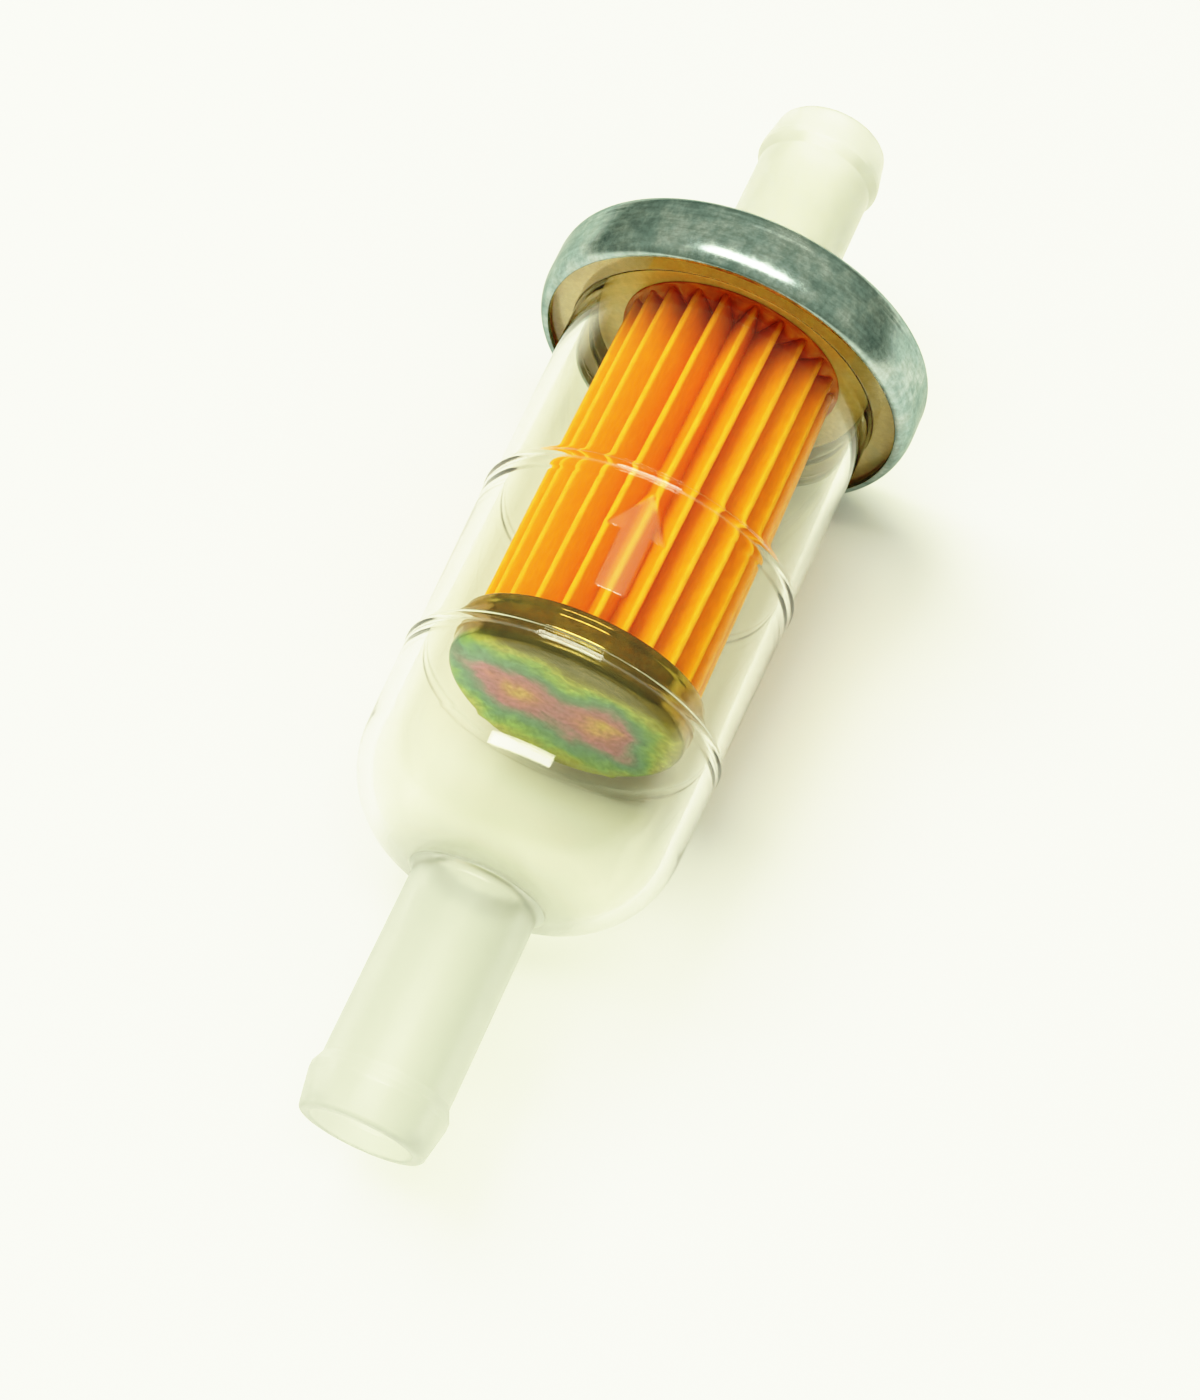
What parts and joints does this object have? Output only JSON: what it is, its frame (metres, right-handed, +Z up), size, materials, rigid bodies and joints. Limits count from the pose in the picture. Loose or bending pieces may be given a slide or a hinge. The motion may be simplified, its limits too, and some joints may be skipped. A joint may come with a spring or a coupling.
{
  "type": "fuel filter",
  "caption": "In-line fuel filter with a clear round-ended bowl, a barbed hose nipple at each end, a rolled steel ring and a pleated paper element inside.",
  "frame": {"origin": "centre of the bounding box in X and Y, on the surface that the filter lies on", "axes": "+Z up; +Y along the filter from inlet to outlet, level, with the filter's own axis leaning 4.9 degrees up towards the outlet as it lies; +X to the right seen from the inlet end"},
  "size_m": [0.0328, 0.0946, 0.033],
  "materials": {
    "clear_nylon": "clear moulded nylon, glossy, a slight yellow-green tint",
    "milky_nylon": "unpigmented milky nylon, satin",
    "zinc_plated_steel": "zinc plate with a bluish clear passivation",
    "yellow_passivated_steel": "zinc plate with a yellow iridescent passivation",
    "filter_paper": "matt orange resin-treated filter paper",
    "brown_adhesive": "cured reddish-brown adhesive, half gloss",
    "nitrile_rubber": "matt black rubber"
  },
  "bodies": {
    "root": {"inlet_bowl": "clear_nylon", "outlet_cap": "milky_nylon", "crimp_ring": "zinc_plated_steel", "seal_ring": "nitrile_rubber", "element_plate": "yellow_passivated_steel", "pleated_paper": "filter_paper", "element_end_cap": "yellow_passivated_steel", "plate_adhesive": "brown_adhesive", "end_cap_adhesive": "brown_adhesive"}
  },
  "joints": []
}
